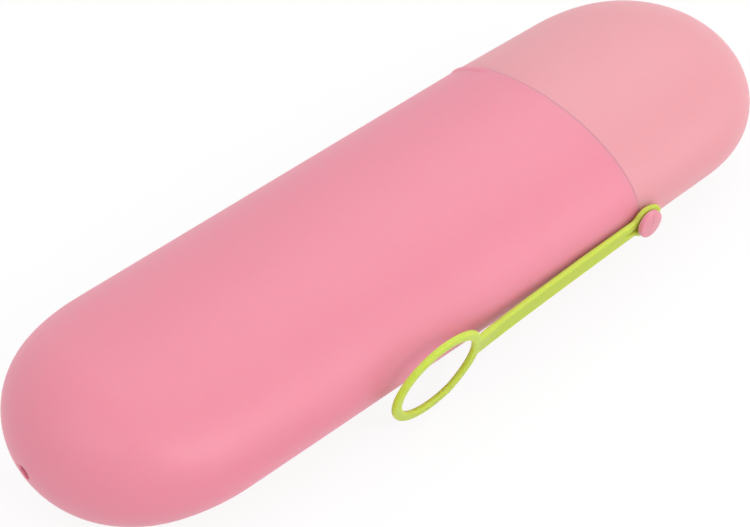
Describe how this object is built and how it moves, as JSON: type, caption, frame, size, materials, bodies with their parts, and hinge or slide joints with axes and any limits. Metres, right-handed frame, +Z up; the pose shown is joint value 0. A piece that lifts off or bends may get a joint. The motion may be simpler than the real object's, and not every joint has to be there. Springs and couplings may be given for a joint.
{
  "type": "toothbrush case",
  "caption": "Travel toothbrush case: a long round-ended body shell, a pull-off cap and a swinging wrist strap with a ring, held by a button.",
  "frame": {"origin": "on the flat that the case rests on, under the middle of the closed case", "axes": "+X along the case towards the cap, +Y away from the strap, +Z up through the case's thickness"},
  "size_m": [0.21, 0.0707, 0.0338],
  "materials": {
    "body_pink": "satin moulded plastic",
    "cap_pink": "satin moulded plastic, a little paler than the body",
    "button_pink": "satin moulded plastic",
    "strap_lime": "soft satin moulded rubber"
  },
  "bodies": {
    "body": {"body_shell": "body_pink", "strap_button": "button_pink"},
    "cap": {"cap_shell": "cap_pink"},
    "strap": {"hanging_strap": "strap_lime"}
  },
  "joints": [
    {"name": "cap_pull_off", "type": "slide", "parent": "body", "child": "cap", "axis": [1, 0, 0], "range_m": [0, 0.03]},
    {"name": "strap_swing", "type": "hinge", "parent": "body", "child": "strap", "pos_m": [0.044, -0.03345, 0.01675], "axis": [0, -1, 0], "continuous": true}
  ]
}
